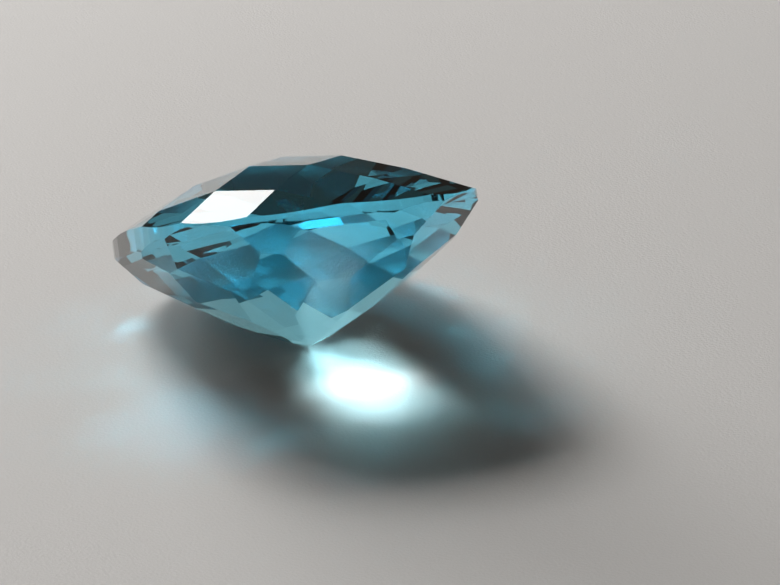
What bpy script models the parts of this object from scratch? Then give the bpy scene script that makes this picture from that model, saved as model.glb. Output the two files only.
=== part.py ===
"""Faceted blue topaz, a loose oblong cushion with a checkerboard crown and a netted pavilion.

The stone is cut the way a lapidary cuts it: a girdled preform is ground down by flat
facets, one tier after another, each tier a cutting angle, a set of index positions round
the stone and a depth. It stands in the pose a loose stone takes up, lying over on one big
pavilion facet. Metres, +Z up, the crown leans away towards +Y.
"""

import math

import bmesh
import bpy
from mathutils import Matrix, Vector

MM = 0.001

# --- driving dimensions -------------------------------------------------------------------
HALF_WIDTH = 12.95 * MM           # side to side, along X
HALF_LENGTH = 14.70 * MM          # end to end, along the leaning direction
OUTLINE_POWER = 3.3               # cushion outline: 2 is an ellipse, higher is squarer
GIRDLE_FLATS = 64                 # small flats that round off the girdle

CROWN_HEIGHT = 4.71 * MM          # girdle plane up to the centre of the crown
CROWN_LINES = (5.10 * MM, 10.44 * MM, 18.00 * MM)   # checkerboard lines, the last past the girdle
CROWN_DROPS = (0.71 * MM, 2.55 * MM, 5.83 * MM)     # the dome falls this much at each line
GRID_TURN = 45.0                  # degrees: the grid runs from corner to corner

REST_ANGLE = 25.5                 # degrees: cutting angle of the facet the stone lies on
PAVILION_STRETCH = HALF_WIDTH / HALF_LENGTH
# each tier: name, cutting angle in degrees, index offsets in every quarter turn in
# degrees, depth below the girdle plane at which its facets would meet on the axis
PAVILION_TIERS = (
    ("girdle break at the sides", 64.0, (0.0,), 31.45 * MM),
    ("girdle break at the corners", 56.0, (45.0,), 26.85 * MM),
    ("upper net", 46.0, (-16.5, 16.5), 17.30 * MM),
    ("middle net at the sides", 37.8, (0.0,), 13.08 * MM),
    ("middle net at the corners", 37.2, (45.0,), 13.30 * MM),
    ("lower net", 29.2, (-21.0, 21.0), 10.89 * MM),
    ("main facets at the sides", REST_ANGLE, (0.0,), 10.16 * MM),
    ("main facets at the corners", 24.6, (45.0,), 10.13 * MM),
    ("culet facets", 17.0, (-22.5, 22.5), 9.87 * MM),
)
REST_QUARTER = 2                  # the stone lies on the main facet of this quarter, at +Y,
LEFT_UNCUT = ("culet facets",)    # which keeps its full point because these stop short of it
PREFORM_DEPTH = 12.0 * MM
PREFORM_HEIGHT = 7.0 * MM


def clear_scene():
    for obj in list(bpy.data.objects):
        bpy.data.objects.remove(obj, do_unlink=True)


def support(angle):
    """Distance from the axis to the line that touches the cushion outline at this angle."""
    power = OUTLINE_POWER / (OUTLINE_POWER - 1.0)
    across = (HALF_WIDTH * abs(math.cos(angle))) ** power
    along = (HALF_LENGTH * abs(math.sin(angle))) ** power
    return (across + along) ** (1.0 / power)


def grind(stone, normal, offset):
    """Cut away everything beyond the plane normal . p = offset and close the cut flat."""
    length = normal.length
    unit = normal / length
    everything = stone.verts[:] + stone.edges[:] + stone.faces[:]
    cut = bmesh.ops.bisect_plane(
        stone, geom=everything, dist=1e-9, plane_co=unit * (offset / length),
        plane_no=unit, clear_outer=True)
    rim = [item for item in cut["geom_cut"] if isinstance(item, bmesh.types.BMEdge)]
    if len(rim) > 2:
        bmesh.ops.contextual_create(stone, geom=rim)


def preform():
    """A tall block, squarer than the stone, for the girdle flats to be ground on."""
    stone = bmesh.new()
    bmesh.ops.create_cube(stone, size=2.0)
    size = (1.5 * HALF_WIDTH, 1.5 * HALF_LENGTH, 0.5 * (PREFORM_HEIGHT + PREFORM_DEPTH))
    bmesh.ops.scale(stone, vec=size, verts=stone.verts)
    lift = 0.5 * (PREFORM_HEIGHT - PREFORM_DEPTH)
    bmesh.ops.translate(stone, vec=(0.0, 0.0, lift), verts=stone.verts)
    return stone


def cut_girdle(stone):
    for flat in range(GIRDLE_FLATS):
        angle = 2.0 * math.pi * flat / GIRDLE_FLATS
        normal = Vector((math.cos(angle), math.sin(angle), 0.0))
        grind(stone, normal, support(angle))


def grid_bands():
    """Slope and start height of each band of the dome between two grid lines."""
    lines = (0.0,) + CROWN_LINES
    drops = (0.0,) + CROWN_DROPS
    bands = []
    for band in range(len(CROWN_LINES)):
        slope = (drops[band + 1] - drops[band]) / (lines[band + 1] - lines[band])
        start = drops[band] - slope * lines[band]
        bands.append((slope, start))
    return bands


def cut_crown(stone):
    """Checkerboard: one flat facet per square of the grid, each square touching the dome."""
    turn = math.radians(GRID_TURN)
    first = Vector((math.cos(turn), math.sin(turn), 0.0))
    second = Vector((-math.sin(turn), math.cos(turn), 0.0))
    bands = grid_bands()
    for slope_a, start_a in bands:
        for slope_b, start_b in bands:
            height = CROWN_HEIGHT - start_a - start_b
            for side_a in (1.0, -1.0):
                for side_b in (1.0, -1.0):
                    tilt = first * (side_a * slope_a) + second * (side_b * slope_b)
                    grind(stone, tilt + Vector((0.0, 0.0, 1.0)), height)


def cut_pavilion(stone):
    """Netted pavilion: every tier is repeated in each quarter, squeezed to the outline."""
    for name, angle, offsets, depth in PAVILION_TIERS:
        slope = math.tan(math.radians(angle))
        for quarter in range(4):
            if quarter == REST_QUARTER and name in LEFT_UNCUT:
                continue
            for offset in offsets:
                turn = math.radians(90.0 * quarter + offset - 90.0)
                across = slope * math.cos(turn) / PAVILION_STRETCH
                along = slope * math.sin(turn)
                grind(stone, Vector((across, along, -1.0)), depth)


def lay_down(stone):
    """Tip the stone over on to its main facet at +Y and set that facet on z = 0."""
    tip = Matrix.Rotation(-math.radians(REST_ANGLE), 4, "X")
    bmesh.ops.transform(stone, matrix=tip, verts=stone.verts)
    lowest = min(vert.co.z for vert in stone.verts)
    bmesh.ops.translate(stone, vec=(0.0, 0.0, -lowest), verts=stone.verts)


def topaz_material():
    material = bpy.data.materials.new("topaz")
    material.use_nodes = True
    shader = material.node_tree.nodes["Principled BSDF"]
    shader.inputs["Base Color"].default_value = (0.36, 0.72, 0.82, 1.0)
    shader.inputs["Roughness"].default_value = 0.02
    shader.inputs["IOR"].default_value = 1.62
    shader.inputs["Transmission Weight"].default_value = 1.0
    return material


def build():
    clear_scene()
    stone = preform()
    cut_girdle(stone)
    cut_crown(stone)
    cut_pavilion(stone)
    bmesh.ops.remove_doubles(stone, verts=stone.verts, dist=2e-6)
    lay_down(stone)
    bmesh.ops.recalc_face_normals(stone, faces=stone.faces)
    mesh = bpy.data.meshes.new("gemstone")
    stone.to_mesh(mesh)
    stone.free()
    body = bpy.data.objects.new("gemstone", mesh)
    body.data.materials.append(topaz_material())
    bpy.context.scene.collection.objects.link(body)
    return body


build()
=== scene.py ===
"""A loose faceted blue topaz lying tipped over on a sheet of pale paper by a window."""

import math

import bpy
from mathutils import Matrix, Vector


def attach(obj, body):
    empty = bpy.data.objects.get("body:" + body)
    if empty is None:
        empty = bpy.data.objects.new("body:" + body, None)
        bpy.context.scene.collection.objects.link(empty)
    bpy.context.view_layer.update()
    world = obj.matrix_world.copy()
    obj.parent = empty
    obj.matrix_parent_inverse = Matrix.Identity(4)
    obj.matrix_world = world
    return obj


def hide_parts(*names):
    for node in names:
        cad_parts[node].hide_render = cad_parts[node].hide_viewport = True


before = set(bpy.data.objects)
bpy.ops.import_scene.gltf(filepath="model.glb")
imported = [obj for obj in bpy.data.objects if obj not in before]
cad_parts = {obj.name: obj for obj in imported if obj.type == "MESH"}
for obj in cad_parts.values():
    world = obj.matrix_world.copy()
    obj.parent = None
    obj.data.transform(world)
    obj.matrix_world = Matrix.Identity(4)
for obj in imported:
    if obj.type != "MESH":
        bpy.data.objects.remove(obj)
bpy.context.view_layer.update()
MM = 0.001


# The stone -------------------------------------------------------------------
# One piece of clear sea-blue topaz. A cutter grinds flats round its girdle, then
# a checkerboard of squares on the crown and a net of facets on the pavilion, one
# ring of equal facets after another, and polishes them all but the girdle.

HALF_WIDTH = 12.95 * MM           # side to side
HALF_LENGTH = 14.70 * MM          # end to end
OUTLINE_POWER = 3.3               # cushion outline: 2 is an ellipse, higher is squarer
GIRDLE_FLATS = 96

CROWN_HEIGHT = 4.71 * MM          # girdle plane up to the middle of the crown
CROWN_LINES = (5.10 * MM, 10.44 * MM, 18.00 * MM)   # lines of the checkerboard
CROWN_DROPS = (0.71 * MM, 2.55 * MM, 5.83 * MM)     # how far the dome has fallen at each
GRID_TURN = 45.0                  # degrees: the checkerboard runs from corner to corner

REST_ANGLE = 25.5                 # degrees: cutting angle of the facet the stone lies on
REST_QUARTER = 2                  # that facet's quarter, where the culet facets are left off
# each ring: name, cutting angle, turn from the middle of its quarter, depth on the axis
PAVILION_RINGS = (
    ("side break", 64.0, 0.0, 31.45 * MM),
    ("corner break", 56.0, 45.0, 26.85 * MM),
    ("upper net", 46.0, 16.5, 17.30 * MM),
    ("side middle net", 37.8, 0.0, 13.08 * MM),
    ("corner middle net", 37.2, 45.0, 13.30 * MM),
    ("lower net", 29.2, 21.0, 10.89 * MM),
    ("side main", REST_ANGLE, 0.0, 10.16 * MM),
    ("corner main", 24.6, 45.0, 10.13 * MM),
    ("culet", 17.0, 22.5, 9.87 * MM),
)
SAME_CORNER = 0.002 * MM          # corners closer than this are one
SAME_LEVEL = 0.0001               # slack in a test for a pole on the girdle plane
DEGREE = math.pi / 180.0

TOPAZ_IOR = 1.62
TAKEN_PER_METRE = (64.0, 11.5, 2.0)       # red, green and blue light lost on the way through
GIRDLE_ROUGHNESS = 0.06
GRIND_LINES_PER_METRE = 2600.0            # fine lines that the girdle wheel left
GRIND_DEPTH = 0.002 * MM
GRIND_DRAWN_OUT = 0.06                    # across the girdle the lines change this much slower
GRIND_DETAIL = 2.0


class Socket:
    """One output of a node, so that sums on it can be written out as Python."""

    def __init__(self, tree, out):
        self.tree = tree
        self.out = out

    def maths(self, operation, *others):
        """A Math node on this socket and any others."""
        values = dict(enumerate((self, *others)))
        return add_node(self.tree, "ShaderNodeMath", {"operation": operation}, values)

    def __add__(self, other):
        return self.maths("ADD", other)

    __radd__ = __add__

    def __sub__(self, other):
        return self.maths("SUBTRACT", other)

    def __rsub__(self, other):
        return (self * -1.0).maths("ADD", other)

    def __mul__(self, other):
        return self.maths("MULTIPLY", other)

    __rmul__ = __mul__

    def __truediv__(self, other):
        return self.maths("DIVIDE", other)

    def __rtruediv__(self, other):
        return self.maths("POWER", -1.0) * other

    def __mod__(self, other):
        return self.maths("MODULO", other)

    def __pow__(self, other):
        return self.maths("POWER", other)


def add_node(tree, kind, settings=None, inputs=None, output=0):
    """A new node: its settings go in first, then a value or a link for each socket named."""
    node = tree.nodes.new(kind)
    for name, value in (settings or {}).items():
        if name == "capture":
            node.capture_items.new(*value)
        elif name == "switch_size":
            while len(node.index_switch_items) < value:
                node.index_switch_items.new()
        else:
            setattr(node, name, value)
    for name, value in (inputs or {}).items():
        if isinstance(value, Socket):
            tree.links.new(value.out, node.inputs[name])
        else:
            node.inputs[name].default_value = value
    return Socket(tree, node.outputs[output])


# The lapidary's tree works with poles. A plane n . p = d has its pole at n / d, and
# the hull of all poles is the stone turned inside out: each of its faces is a corner
# of the stone, and each pole on it is a facet.
lapidary = bpy.data.node_groups.new("lapidary", "GeometryNodeTree")
lapidary.is_modifier = True
lapidary.interface.new_socket("Geometry", in_out="OUTPUT", socket_type="NodeSocketGeometry")
sizes_given = {}


def size_input(name, value):
    """A named input of the lapidary's tree, with the value the modifier will give it."""
    kind = "NodeSocketInt" if isinstance(value, int) else "NodeSocketFloat"
    socket = lapidary.interface.new_socket(name, in_out="INPUT", socket_type=kind)
    sizes_given[socket.identifier] = value


size_input("half width", HALF_WIDTH)
size_input("half length", HALF_LENGTH)
size_input("outline power", OUTLINE_POWER)
size_input("girdle flats", GIRDLE_FLATS)
size_input("crown height", CROWN_HEIGHT)
size_input("grid turn", GRID_TURN)
for number, (line, drop) in enumerate(zip(CROWN_LINES, CROWN_DROPS)):
    size_input(f"line {number}", line)
    size_input(f"drop {number}", drop)
for ring_name, angle, turn, depth in PAVILION_RINGS:
    size_input(ring_name + " angle", angle)
    size_input(ring_name + " turn", turn)
    size_input(ring_name + " depth", depth)
size_input("rest angle", REST_ANGLE)
size_input("rest quarter", REST_QUARTER)
group_input = lapidary.nodes.new("NodeGroupInput")
size = {out.name: Socket(lapidary, out) for out in group_input.outputs if out.name}


def vector(x, y, z):
    return add_node(lapidary, "ShaderNodeCombineXYZ", {}, {"X": x, "Y": y, "Z": z})


def scaled(direction, factor):
    values = {0: direction, "Scale": factor}
    return add_node(lapidary, "ShaderNodeVectorMath", {"operation": "SCALE"}, values)


def poles(count, normal, offset):
    """One point for each facet of a ring, at its plane's pole."""
    place = scaled(normal, 1.0 / offset)
    return add_node(lapidary, "GeometryNodePoints", {}, {"Count": count, "Position": place})


def girdle_poles():
    """Flats that touch the cushion outline all the way round."""
    way = add_node(lapidary, "GeometryNodeInputIndex") * (2.0 * math.pi) / size["girdle flats"]
    across, along = way.maths("COSINE"), way.maths("SINE")
    power = size["outline power"] / (size["outline power"] - 1.0)
    reach_across = (size["half width"] * across.maths("ABSOLUTE")) ** power
    reach_along = (size["half length"] * along.maths("ABSOLUTE")) ** power
    reach = (reach_across + reach_along) ** (1.0 / power)
    return poles(size["girdle flats"], vector(across, along, 0.0), reach)


def crown_poles():
    """One square for each pair of bands of the dome, on each side of both middle lines."""
    bands = len(CROWN_LINES)
    slopes, starts = [], []
    last_line, last_drop = 0.0, 0.0
    for number in range(bands):
        line, drop = size[f"line {number}"], size[f"drop {number}"]
        slope = (drop - last_drop) / (line - last_line)
        slopes.append(slope)
        starts.append(drop - slope * line)
        last_line, last_drop = line, drop
    index = add_node(lapidary, "GeometryNodeInputIndex")

    def digit(unit, base):
        return (index / unit).maths("FLOOR") % base

    def of_band(band, values):
        choices = {number + 1: value for number, value in enumerate(values)}
        settings = {"data_type": "FLOAT", "switch_size": bands}
        return add_node(lapidary, "GeometryNodeIndexSwitch", settings, {0: band, **choices})

    squares = bands * bands
    first_band, second_band = digit(1.0, bands), digit(bands, bands)
    first = of_band(first_band, slopes) * (digit(squares, 2.0) * 2.0 - 1.0)
    second = of_band(second_band, slopes) * (digit(2.0 * squares, 2.0) * 2.0 - 1.0)
    cosine = (size["grid turn"] * DEGREE).maths("COSINE")
    sine = (size["grid turn"] * DEGREE).maths("SINE")
    normal = vector(first * cosine - second * sine, first * sine + second * cosine, 1.0)
    start = of_band(first_band, starts) + of_band(second_band, starts)
    return poles(4 * squares, normal, size["crown height"] - start)


def pavilion_poles(name, paired):
    """A ring of one or two facets in every quarter, squeezed to the outline's proportions."""
    index = add_node(lapidary, "GeometryNodeInputIndex")
    quarter = (index / 2.0).maths("FLOOR") if paired else index
    side = index % 2.0 * 2.0 - 1.0 if paired else 1.0
    way = (quarter * 90.0 - 90.0 + size[name + " turn"] * side) * DEGREE
    slope = (size[name + " angle"] * DEGREE).maths("TANGENT")
    across = slope * way.maths("COSINE") * size["half length"] / size["half width"]
    down = vector(across, slope * way.maths("SINE"), -1.0)
    ring = poles(8 if paired else 4, down, size[name + " depth"])
    if name != "culet":
        return ring
    resting = quarter.maths("COMPARE", size["rest quarter"], 0.5)
    return add_node(
        lapidary,
        "GeometryNodeDeleteGeometry",
        {"domain": "POINT"},
        {"Geometry": ring, "Selection": resting},
    )


rings = [girdle_poles(), crown_poles()]
for ring_name, angle, turn, depth in PAVILION_RINGS:
    rings.append(pavilion_poles(ring_name, paired=turn not in (0.0, 45.0)))
all_poles = add_node(lapidary, "GeometryNodeJoinGeometry")
for ring in rings:
    lapidary.links.new(ring.out, all_poles.out.node.inputs["Geometry"])
hull = add_node(lapidary, "GeometryNodeConvexHull", {}, {"Geometry": all_poles})

normal = add_node(lapidary, "GeometryNodeInputNormal")
position = add_node(lapidary, "GeometryNodeInputPosition")
reach = add_node(
    lapidary, "ShaderNodeVectorMath", {"operation": "DOT_PRODUCT"}, {0: normal, 1: position}, "Value"
)
height = add_node(lapidary, "ShaderNodeSeparateXYZ", {}, {0: position}, "Z")
corners = add_node(
    lapidary,
    "GeometryNodeCaptureAttribute",
    {"domain": "FACE", "capture": ("VECTOR", "corner")},
    {"Geometry": hull, 1: scaled(normal, 1.0 / reach)},
)
corner = Socket(lapidary, corners.out.node.outputs[1])
on_girdle = add_node(
    lapidary,
    "GeometryNodeCaptureAttribute",
    {"domain": "POINT", "capture": ("FLOAT", "ground")},
    {"Geometry": corners, 1: height.maths("COMPARE", 0.0, SAME_LEVEL)},
)
ground = Socket(lapidary, on_girdle.out.node.outputs[1])
turned_out = add_node(lapidary, "GeometryNodeDualMesh", {}, {0: on_girdle})
cut = add_node(lapidary, "GeometryNodeSetPosition", {}, {"Geometry": turned_out, "Position": corner})
marked = add_node(
    lapidary,
    "GeometryNodeStoreNamedAttribute",
    {"data_type": "FLOAT", "domain": "FACE"},
    {"Geometry": cut, "Name": "ground", "Value": ground},
)
flat = add_node(
    lapidary, "GeometryNodeSetShadeSmooth", {}, {"Geometry": marked, "Shade Smooth": False}
)
whole = add_node(
    lapidary, "GeometryNodeMergeByDistance", {}, {"Geometry": flat, "Distance": SAME_CORNER}
)
tip_over = vector(size["rest angle"] * -DEGREE, 0.0, 0.0)
tipped = add_node(lapidary, "GeometryNodeTransform", {}, {"Geometry": whole, "Rotation": tip_over})
lowest = add_node(
    lapidary, "GeometryNodeAttributeStatistic", {}, {"Geometry": tipped, "Attribute": height}, "Min"
)
lift = vector(0.0, 0.0, lowest * -1.0)
laid = add_node(lapidary, "GeometryNodeTransform", {}, {"Geometry": tipped, "Translation": lift})


def new_material(name):
    """An empty material, its node tree and its output node."""
    material = bpy.data.materials.new(name)
    material.use_nodes = True
    material.node_tree.nodes.clear()
    output = material.node_tree.nodes.new("ShaderNodeOutputMaterial")
    return material, material.node_tree, output


topaz, tree, output = new_material("polished_topaz")
ground_part = add_node(tree, "ShaderNodeAttribute", {"attribute_name": "ground"}, {}, "Fac")
place = add_node(tree, "ShaderNodeTexCoord", {}, {}, "Object")
stood_up = add_node(
    tree,
    "ShaderNodeMapping",
    {},
    {
        "Vector": place,
        "Rotation": (REST_ANGLE * DEGREE, 0.0, 0.0),
        "Scale": (1.0, 1.0, GRIND_DRAWN_OUT),
    },
)
grind = add_node(
    tree,
    "ShaderNodeTexNoise",
    {},
    {"Vector": stood_up, "Scale": GRIND_LINES_PER_METRE, "Detail": GRIND_DETAIL},
)
grind_bump = add_node(
    tree,
    "ShaderNodeBump",
    {},
    {"Strength": 1.0, "Distance": GRIND_DEPTH, "Height": grind * ground_part},
)
surface = add_node(
    tree,
    "ShaderNodeBsdfPrincipled",
    {},
    {
        "Base Color": (1.0, 1.0, 1.0, 1.0),
        "Roughness": ground_part * GIRDLE_ROUGHNESS,
        "IOR": TOPAZ_IOR,
        "Transmission Weight": 1.0,
        "Normal": grind_bump,
    },
)
strongest = max(TAKEN_PER_METRE)
colour_kept = [1.0 - taken / strongest for taken in TAKEN_PER_METRE]
depth_colour = add_node(
    tree,
    "ShaderNodeVolumeAbsorption",
    {},
    {"Color": (*colour_kept, 1.0), "Density": strongest},
)
tree.links.new(surface.out, output.inputs["Surface"])
tree.links.new(depth_colour.out, output.inputs["Volume"])

finished = add_node(lapidary, "GeometryNodeRealizeInstances", {}, {"Geometry": laid})
finished = add_node(lapidary, "GeometryNodeSetMaterial", {}, {"Geometry": finished, "Material": topaz})
group_output = lapidary.nodes.new("NodeGroupOutput")
lapidary.links.new(finished.out, group_output.inputs["Geometry"])

stone = bpy.data.objects.new("cut_stone", bpy.data.meshes.new("rough"))
bpy.context.scene.collection.objects.link(stone)
cutting = stone.modifiers.new("cutting", "NODES")
cutting.node_group = lapidary
for identifier, value in sizes_given.items():
    cutting[identifier] = value
evaluated = stone.evaluated_get(bpy.context.evaluated_depsgraph_get())
cut_mesh = bpy.data.meshes.new_from_object(evaluated)
stone.modifiers.remove(cutting)
stone.data = cut_mesh
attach(stone, "root")
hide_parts("gemstone")


# The paper -------------------------------------------------------------------
# A big sheet of warm white paper, laid flat, with a faint tooth.

SHEET_SIDE = 3000 * MM
PAPER_COLOUR = (0.600, 0.592, 0.586, 1.0)
PAPER_ROUGHNESS = 0.75
TOOTH_PER_METRE = 4200.0
TOOTH_DEPTH = 0.05 * MM
TOOTH_STRENGTH = 0.7
TOOTH_DETAIL = 4.0

paper, tree, output = new_material("paper")
place = add_node(tree, "ShaderNodeTexCoord", {}, {}, "Object")
tooth = add_node(
    tree,
    "ShaderNodeTexNoise",
    {},
    {"Vector": place, "Scale": TOOTH_PER_METRE, "Detail": TOOTH_DETAIL},
)
tooth_bump = add_node(
    tree,
    "ShaderNodeBump",
    {},
    {"Strength": TOOTH_STRENGTH, "Distance": TOOTH_DEPTH, "Height": tooth},
)
sheet_face = add_node(
    tree,
    "ShaderNodeBsdfPrincipled",
    {},
    {"Base Color": PAPER_COLOUR, "Roughness": PAPER_ROUGHNESS, "Normal": tooth_bump},
)
tree.links.new(sheet_face.out, output.inputs["Surface"])

half = SHEET_SIDE / 2
sheet_mesh = bpy.data.meshes.new("paper_sheet")
sheet_corners = [(-half, -half, 0.0), (half, -half, 0.0), (half, half, 0.0), (-half, half, 0.0)]
sheet_mesh.from_pydata(sheet_corners, [], [(0, 1, 2, 3)])
sheet = bpy.data.objects.new("paper_sheet", sheet_mesh)
bpy.context.scene.collection.objects.link(sheet)
sheet_mesh.materials.append(paper)


# The light -------------------------------------------------------------------
# A window stands behind the stone: a bright transom, a bright low pane and a tall
# dimmer pane. Two dim glows stand low in front and at the side of a warm dark room.

LIGHT_COLOUR = (1.0, 0.98, 0.955)
ROOM_COLOUR = (1.0, 0.88, 0.76, 1.0)
ROOM_STRENGTH = 0.050
STONE_MIDDLE = 8 * MM             # height above the paper that every pane faces


def window(name, azimuth, elevation, distance, width, height, radiance):
    """An area lamp that faces the stone. Azimuth is in degrees, from +Y towards +X."""
    turn = math.radians(azimuth)
    rise = math.radians(elevation)
    way = Vector((math.sin(turn) * math.cos(rise), math.cos(turn) * math.cos(rise), math.sin(rise)))
    lamp = bpy.data.lights.new(name, "AREA")
    lamp.shape = "RECTANGLE"
    lamp.size = width
    lamp.size_y = height
    lamp.energy = radiance * math.pi * width * height
    lamp.color = LIGHT_COLOUR
    holder = bpy.data.objects.new(name, lamp)
    holder.location = way * distance + Vector((0.0, 0.0, STONE_MIDDLE))
    holder.rotation_mode = "QUATERNION"
    holder.rotation_quaternion = way.to_track_quat("Z", "Y")
    bpy.context.scene.collection.objects.link(holder)


window("transom", -14.25, 38.5, 1000 * MM, 391 * MM, 227 * MM, 22.3)
window("low_pane", -14.25, 16.0, 1400 * MM, 670 * MM, 244 * MM, 13.0)
window("tall_pane", -4.0, 23.0, 1400 * MM, 562 * MM, 1132 * MM, 4.8)
window("front_glow", 190.0, 8.5, 900 * MM, 314 * MM, 265 * MM, 3.1)
window("side_glow", 80.0, 15.0, 900 * MM, 600 * MM, 440 * MM, 0.3)

room = bpy.data.worlds.new("dim_room")
room.use_nodes = True
room.node_tree.nodes["Background"].inputs["Color"].default_value = ROOM_COLOUR
room.node_tree.nodes["Background"].inputs["Strength"].default_value = ROOM_STRENGTH
bpy.context.scene.world = room


# The camera ------------------------------------------------------------------
# A long lens looks down on the stone from the front, a little to its left.

SENSOR_WIDTH = 36.0               # millimetres, as a lens is named
PICTURE_WIDTH = 780.0             # pixels
FOCAL_LENGTH = 3500.0             # in the same pixels
CAMERA_PLACE = Vector((-66.56, -240.04, 104.93)) * MM
CAMERA_RIGHT = Vector((0.9538, -0.3001, -0.0109))
CAMERA_UP = Vector((0.1234, 0.3586, 0.9253))
CAMERA_BACK = Vector((-0.2738, -0.8839, 0.3791))
LIGHT_BOUNCES = 24                # enough for light that runs round inside the stone

camera_data = bpy.data.cameras.new("camera")
camera_data.sensor_width = SENSOR_WIDTH
camera_data.lens = SENSOR_WIDTH * FOCAL_LENGTH / PICTURE_WIDTH
camera_data.clip_start = 10 * MM
camera_data.clip_end = 20000 * MM
camera = bpy.data.objects.new("camera", camera_data)
turned = Matrix((CAMERA_RIGHT, CAMERA_UP, CAMERA_BACK)).transposed()
camera.matrix_world = Matrix.Translation(CAMERA_PLACE) @ turned.to_4x4()
bpy.context.scene.collection.objects.link(camera)
bpy.context.scene.camera = camera
bpy.context.scene.view_settings.view_transform = "Standard"
bpy.context.scene.cycles.sample_clamp_indirect = 0.0
bpy.context.scene.cycles.blur_glossy = 0.0
bpy.context.scene.cycles.max_bounces = LIGHT_BOUNCES
bpy.context.scene.cycles.transmission_bounces = LIGHT_BOUNCES
